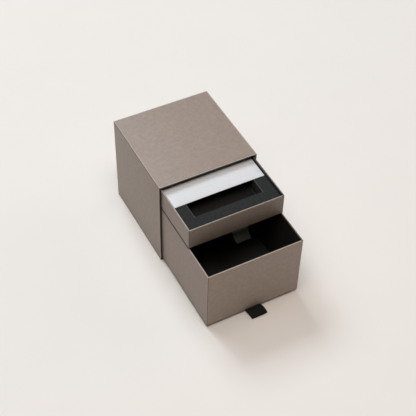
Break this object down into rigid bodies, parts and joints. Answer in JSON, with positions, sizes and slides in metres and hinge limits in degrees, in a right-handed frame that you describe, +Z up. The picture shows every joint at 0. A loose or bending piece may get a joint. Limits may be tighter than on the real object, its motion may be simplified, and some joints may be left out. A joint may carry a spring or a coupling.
{
  "type": "drawer gift box",
  "caption": "Cube gift box: a rigid paper-covered sleeve with a shallow foam-lined tray above a deep drawer, both sliding out on ribbon pulls.",
  "frame": {"origin": "centre of the sleeve's underside, on the surface that the box stands on", "axes": "+Z up, +X to the right seen from the front, +Y to the back; tray and drawer slide out along -Y"},
  "size_m": [0.1, 0.2029, 0.099],
  "materials": {
    "greyboard": "matte",
    "gummed_tape": "matte",
    "taupe_paper": "matte",
    "black_paper": "matte",
    "black_ribbon": "satin",
    "black_foam": "matte",
    "white_card": "satin"
  },
  "bodies": {
    "sleeve": {"sleeve_base_board": "greyboard", "sleeve_top_board": "greyboard", "sleeve_left_board": "greyboard", "sleeve_right_board": "greyboard", "sleeve_back_board": "greyboard", "sleeve_corner_tapes": "gummed_tape", "sleeve_cover": "taupe_paper", "sleeve_edge_binding": "black_paper", "sleeve_base_sheet": "taupe_paper", "sleeve_back_sheet": "taupe_paper", "sleeve_back_lining": "black_paper", "sleeve_wall_lining": "black_paper"},
    "drawer": {"drawer_base_board": "greyboard", "drawer_front_board": "greyboard", "drawer_back_board": "greyboard", "drawer_left_board": "greyboard", "drawer_right_board": "greyboard", "drawer_corner_tapes": "gummed_tape", "drawer_cover": "taupe_paper", "drawer_base_sheet": "taupe_paper", "drawer_floor_lining": "black_paper", "drawer_wall_lining": "black_paper", "drawer_ribbon": "black_ribbon"},
    "tray": {"tray_base_board": "greyboard", "tray_front_board": "greyboard", "tray_back_board": "greyboard", "tray_left_board": "greyboard", "tray_right_board": "greyboard", "tray_corner_tapes": "gummed_tape", "tray_cover": "taupe_paper", "tray_base_sheet": "taupe_paper", "tray_floor_lining": "black_paper", "tray_wall_lining": "black_paper", "tray_ribbon": "black_ribbon", "foam_insert": "black_foam"},
    "card": {"card": "white_card"}
  },
  "joints": [
    {"name": "drawer_slide", "type": "slide", "parent": "sleeve", "child": "drawer", "axis": [0, -1, 0], "range_m": [-0.0906, 0.01], "deforming": ["tray_ribbon"]},
    {"name": "tray_slide", "type": "slide", "parent": "sleeve", "child": "tray", "axis": [0, -1, 0], "range_m": [-0.0544, 0.046]},
    {"name": "card_slide", "type": "slide", "parent": "tray", "child": "card", "axis": [0, -1, 0], "range_m": [-0.002, 0.031]}
  ]
}
